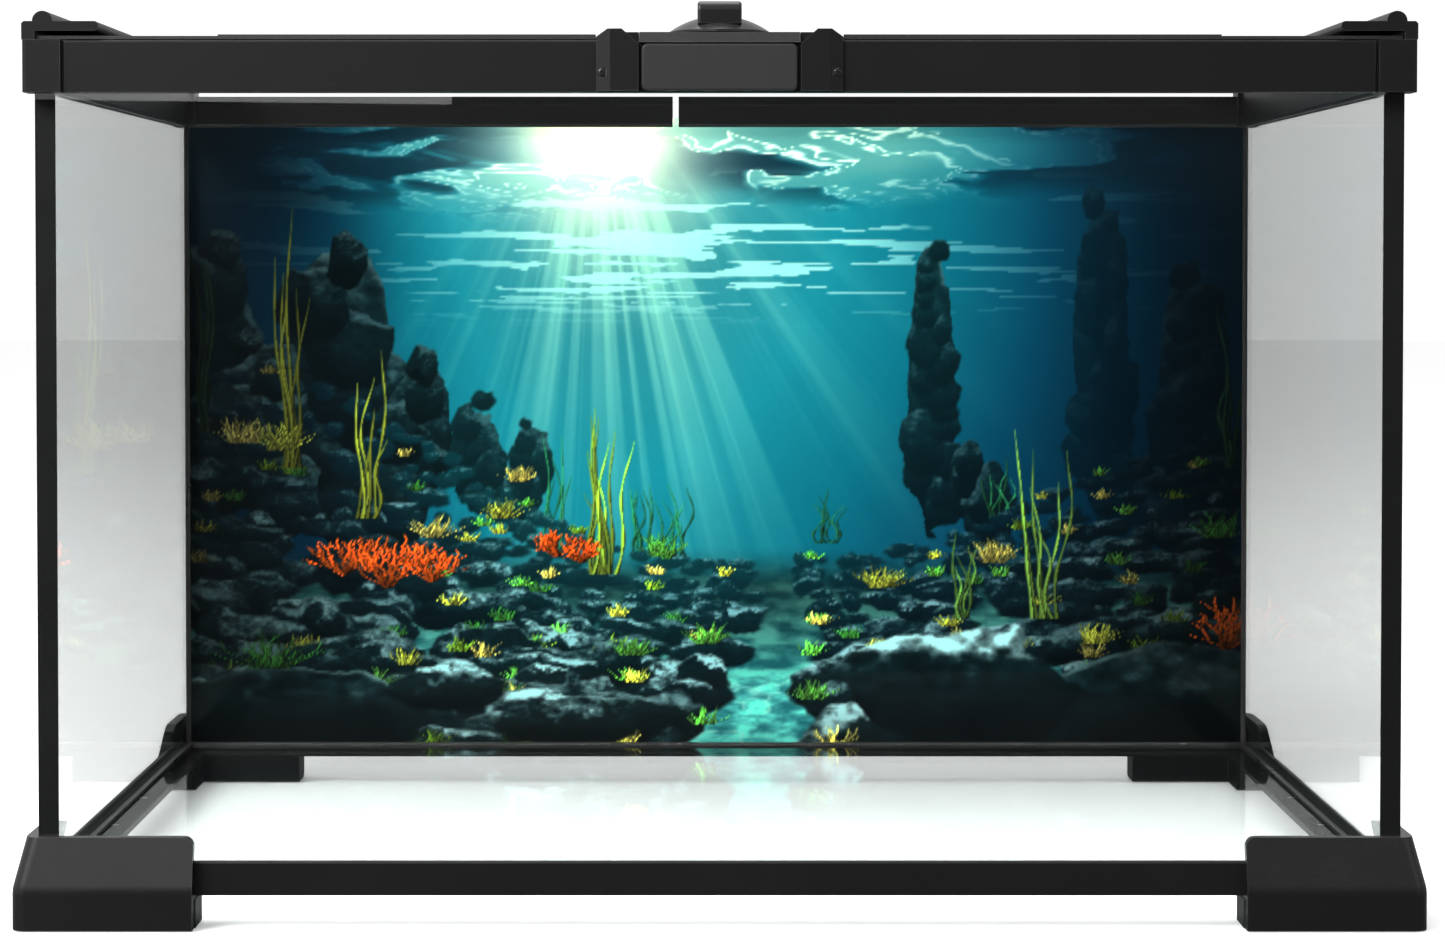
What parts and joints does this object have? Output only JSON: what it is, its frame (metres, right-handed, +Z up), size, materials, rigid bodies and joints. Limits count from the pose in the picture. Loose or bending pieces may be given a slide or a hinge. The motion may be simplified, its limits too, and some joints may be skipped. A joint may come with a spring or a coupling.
{
  "type": "glass aquarium tank",
  "caption": "Framed glass tank on corner feet, with a printed background, a sliding screen lid and a quarter-turn lid lock.",
  "frame": {"origin": "middle of the footprint at floor level, under the tank", "axes": "+X to the right along the long side, +Y from the locked front to the back, +Z up"},
  "size_m": [0.4734, 0.3214, 0.3107],
  "materials": {
    "glass": "clear float glass",
    "silicone": "black cured silicone",
    "frame_plastic": "satin black",
    "foot_plastic": "satin black",
    "panel_plastic": "fine matte black",
    "knob_plastic": "semi-gloss black",
    "bush_plastic": "natural acetal",
    "pad_rubber": "grey-black rubber",
    "spline_vinyl": "black vinyl cord",
    "screw_steel": "zinc plated",
    "screw_black": "blackened steel",
    "pin_steel": "turned steel",
    "screen_mesh": "black coated mesh",
    "lid_metal": "black powder coat",
    "film_print": "printed polyester film"
  },
  "bodies": {
    "tank": {"background_film": "film_print", "base_rail_front": "frame_plastic", "base_rail_left": "frame_plastic", "base_rail_rear": "frame_plastic", "base_rail_right": "frame_plastic", "bottom_pane": "glass", "corner_front_left": "frame_plastic", "corner_front_right": "frame_plastic", "corner_rear_left": "frame_plastic", "corner_rear_right": "frame_plastic", "foot_front_left": "foot_plastic", "foot_front_right": "foot_plastic", "foot_pads": "pad_rubber", "foot_rear_left": "foot_plastic", "foot_rear_right": "foot_plastic", "front_pane": "glass", "latch_cap": "frame_plastic", "latch_cheek_left": "frame_plastic", "latch_cheek_right": "frame_plastic", "latch_panel": "panel_plastic", "latch_screws": "screw_black", "left_pane": "glass", "lid_track_left": "frame_plastic", "lid_track_right": "frame_plastic", "lock_strike": "frame_plastic", "rail_studs": "screw_steel", "rear_pane": "glass", "right_pane": "glass", "seam_floor": "silicone", "seam_front_left": "silicone", "seam_front_right": "silicone", "seam_rear_left": "silicone", "seam_rear_right": "silicone", "top_rail_front": "frame_plastic", "top_rail_left": "frame_plastic", "top_rail_rear_left": "frame_plastic", "top_rail_rear_right": "frame_plastic", "top_rail_right": "frame_plastic"},
    "lid": {"lid_bar_front": "lid_metal", "lid_bar_rear": "lid_metal", "lid_bar_left": "lid_metal", "lid_bar_right": "lid_metal", "lid_spline": "spline_vinyl", "lid_screen": "screen_mesh", "latch_base": "frame_plastic", "lock_bush": "bush_plastic"},
    "knob": {"lock_knob": "knob_plastic", "cam_sleeve": "pin_steel"},
    "pin": {"lock_pin": "pin_steel"}
  },
  "joints": [
    {"name": "lid_slide", "type": "slide", "parent": "tank", "child": "lid", "axis": [0, 1, 0], "range_m": [0, 0.28]},
    {"name": "knob_turn", "type": "hinge", "parent": "lid", "child": "knob", "pos_m": [0, -0.138, 0.3], "axis": [0, 0, 1], "range_deg": [0, 90]},
    {"name": "lock_pin_drop", "type": "slide", "parent": "lid", "child": "pin", "axis": [0, 0, -1], "range_m": [0, 0.004]}
  ],
  "couplings": [
    {"joint": "lock_pin_drop", "follows": "knob_turn", "m_per_rad": 0.0025465}
  ]
}
